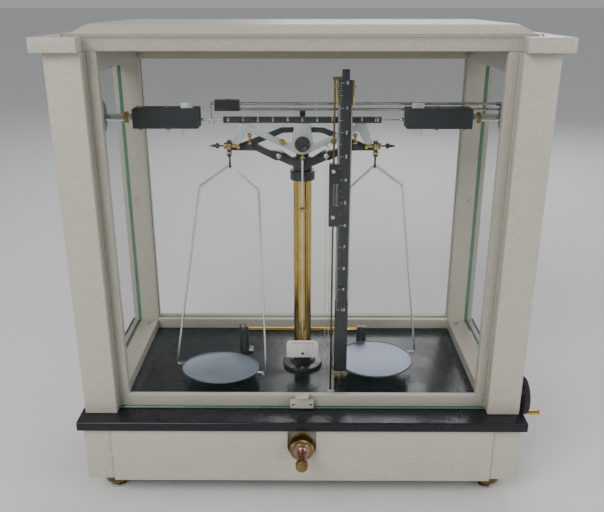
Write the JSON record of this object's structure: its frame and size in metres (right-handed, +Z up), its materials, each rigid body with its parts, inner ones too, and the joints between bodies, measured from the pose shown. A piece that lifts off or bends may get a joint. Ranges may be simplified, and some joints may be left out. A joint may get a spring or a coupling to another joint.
{
  "type": "analytical balance",
  "caption": "Two-pan analytical balance in a glazed case with a lifting front door, a chain slider on a reading column, a rider rod, magnetic damping and levelling feet.",
  "frame": {"origin": "centre of the fixed rear foot's underside, on the table", "axes": "+Z up, +X to the user's right, +Y to the rear; the glass door faces -Y"},
  "size_m": [0.4927, 0.2912, 0.485],
  "materials": {
    "slab": "polished black slab",
    "case_paint": "cream-grey hammertone",
    "glass": "clear",
    "brass": "lacquered",
    "bronze": "tarnished",
    "black_metal": "satin black",
    "steel": "brushed",
    "chrome": "polished",
    "nickel": "satin",
    "aluminium": "satin",
    "agate": "polished",
    "ivory": "satin",
    "black_plastic": "satin",
    "rubber": "matt"
  },
  "bodies": {
    "root": {"base_slab": "slab", "lower_case": "case_paint", "front_cover": "case_paint", "inner_front_plate": "case_paint", "knob_bushing": "brass", "rear_foot": "rubber", "front_posts": "case_paint", "crown_plate": "case_paint", "roof_lid": "case_paint", "front_frame": "case_paint", "side_frames": "case_paint", "rear_frame": "case_paint", "fixed_glass": "glass", "column_base": "black_metal", "column": "brass", "column_head": "black_metal", "bearing_plane": "agate", "index_plate": "ivory", "brake_bearings": "black_metal", "magnet_blocks": "black_metal", "magnet_supports": "chrome", "scale_column": "black_metal", "scale_brass": "brass", "chain": "steel", "small_screws": "steel"},
    "front_door": {"door_glass": "glass", "door_lifter": "case_paint"},
    "counterweights": {"counterweights": "steel"},
    "beam": {"beam_frame": "aluminium", "notch_bar": "black_metal", "centre_knife": "black_metal", "end_knives": "brass", "poise_screws": "black_metal", "balance_nuts": "brass", "damper_vanes": "aluminium", "pointer": "aluminium"},
    "stirrup_left": {"stirrup_left": "black_metal"},
    "stirrup_right": {"stirrup_right": "black_metal"},
    "hanging_pan_left": {"bow_left": "nickel", "pan_left": "nickel"},
    "hanging_pan_right": {"bow_right": "nickel", "pan_right": "nickel"},
    "arrest_arm_left": {"arrest_arm_left": "black_metal", "contact_post_left": "brass"},
    "arrest_arm_right": {"arrest_arm_right": "black_metal", "contact_post_right": "brass"},
    "arrest_knob": {"arrest_knob": "bronze", "arrest_shaft": "steel"},
    "brake_button": {"brake_button": "bronze"},
    "pan_brake": {"brake_rocker": "black_metal"},
    "hand_wheel": {"hand_wheel": "black_plastic", "drive_shaft": "steel"},
    "vernier": {"vernier_slider": "black_metal"},
    "rider_carriage": {"rider_head": "black_metal", "rider_guide_rod": "steel"},
    "rider_rod": {"rider_rod": "steel"},
    "foot_nut_left": {"foot_nut_left": "bronze"},
    "foot_pad_left": {"foot_pad_left": "steel"},
    "foot_nut_right": {"foot_nut_right": "bronze"},
    "foot_pad_right": {"foot_pad_right": "steel"}
  },
  "joints": [
    {"name": "door_lift", "type": "slide", "parent": "root", "child": "front_door", "axis": [0, 0, 1], "range_m": [0, 0.28]},
    {"name": "counterweight_drop", "type": "slide", "parent": "root", "child": "counterweights", "axis": [0, 0, 1], "range_m": [-0.28, 0]},
    {"name": "beam_tilt", "type": "hinge", "parent": "root", "child": "beam", "pos_m": [0, -0.116, 0.3663], "axis": [0, 1, 0], "range_deg": [-2.5, 2.5]},
    {"name": "stirrup_left_hang", "type": "hinge", "parent": "beam", "child": "stirrup_left", "pos_m": [-0.076, -0.116, 0.3663], "axis": [0, 1, 0], "range_deg": [-2.6, 2.6]},
    {"name": "stirrup_right_hang", "type": "hinge", "parent": "beam", "child": "stirrup_right", "pos_m": [0.076, -0.116, 0.3663], "axis": [0, 1, 0], "range_deg": [-2.6, 2.6]},
    {"name": "pan_left_swivel", "type": "hinge", "parent": "stirrup_left", "child": "hanging_pan_left", "pos_m": [-0.076, -0.116, 0.344], "axis": [0, 0, 1], "range_deg": [-20, 20]},
    {"name": "pan_right_swivel", "type": "hinge", "parent": "stirrup_right", "child": "hanging_pan_right", "pos_m": [0.076, -0.116, 0.344], "axis": [0, 0, 1], "range_deg": [-8, 4]},
    {"name": "arrest_turn", "type": "hinge", "parent": "root", "child": "arrest_knob", "pos_m": [0, -0.195, 0.067], "axis": [0, 1, 0], "range_deg": [0, 90]},
    {"name": "arm_left_swing", "type": "hinge", "parent": "root", "child": "arrest_arm_left", "pos_m": [-0.025, -0.10625, 0.351], "axis": [0, 1, 0], "range_deg": [0, 3.9]},
    {"name": "arm_right_swing", "type": "hinge", "parent": "root", "child": "arrest_arm_right", "pos_m": [0.025, -0.10625, 0.351], "axis": [0, 1, 0], "range_deg": [-3.9, 0]},
    {"name": "brake_push", "type": "slide", "parent": "arrest_knob", "child": "brake_button", "axis": [0, 1, 0], "range_m": [0, 0.005], "stiffness_N_per_m": 400},
    {"name": "brake_rock", "type": "hinge", "parent": "root", "child": "pan_brake", "pos_m": [0, -0.064, 0.127], "axis": [1, 0, 0], "range_deg": [-3.2, 0]},
    {"name": "chain_drive", "type": "hinge", "parent": "root", "child": "hand_wheel", "pos_m": [0.239, -0.175, 0.1025], "axis": [1, 0, 0], "range_deg": [-1080, 780]},
    {"name": "slider_travel", "type": "slide", "parent": "root", "child": "vernier", "axis": [0, 0, 1], "range_m": [-0.0945, 0.0685], "deforming": ["chain"]},
    {"name": "rider_travel", "type": "slide", "parent": "root", "child": "rider_carriage", "axis": [1, 0, 0], "range_m": [0, 0.15]},
    {"name": "rider_turn", "type": "hinge", "parent": "rider_carriage", "child": "rider_rod", "pos_m": [0, -0.095, 0.4035], "axis": [1, 0, 0], "range_deg": [-60, 0]},
    {"name": "foot_left_turn", "type": "hinge", "parent": "root", "child": "foot_nut_left", "pos_m": [-0.204, -0.193, 0], "axis": [0, 0, 1], "range_deg": [-1080, 1620]},
    {"name": "foot_left_rise", "type": "slide", "parent": "root", "child": "foot_pad_left", "axis": [0, 0, 1], "range_m": [-0.006, 0.004]},
    {"name": "foot_right_turn", "type": "hinge", "parent": "root", "child": "foot_nut_right", "pos_m": [0.204, -0.193, 0], "axis": [0, 0, 1], "range_deg": [-1080, 1620]},
    {"name": "foot_right_rise", "type": "slide", "parent": "root", "child": "foot_pad_right", "axis": [0, 0, 1], "range_m": [-0.006, 0.004]}
  ],
  "couplings": [
    {"joint": "counterweight_drop", "follows": "door_lift", "ratio": -1},
    {"joint": "stirrup_left_hang", "follows": "beam_tilt", "ratio": -1},
    {"joint": "stirrup_right_hang", "follows": "beam_tilt", "ratio": -1},
    {"joint": "arm_left_swing", "follows": "arrest_turn", "ratio": 0.0425},
    {"joint": "arm_right_swing", "follows": "arrest_turn", "ratio": -0.0425},
    {"joint": "brake_rock", "follows": "brake_push", "rad_per_m": -11.1},
    {"joint": "slider_travel", "follows": "chain_drive", "m_per_rad": 0.005},
    {"joint": "foot_left_rise", "follows": "foot_left_turn", "m_per_rad": -0.00021},
    {"joint": "foot_right_rise", "follows": "foot_right_turn", "m_per_rad": -0.00021}
  ]
}
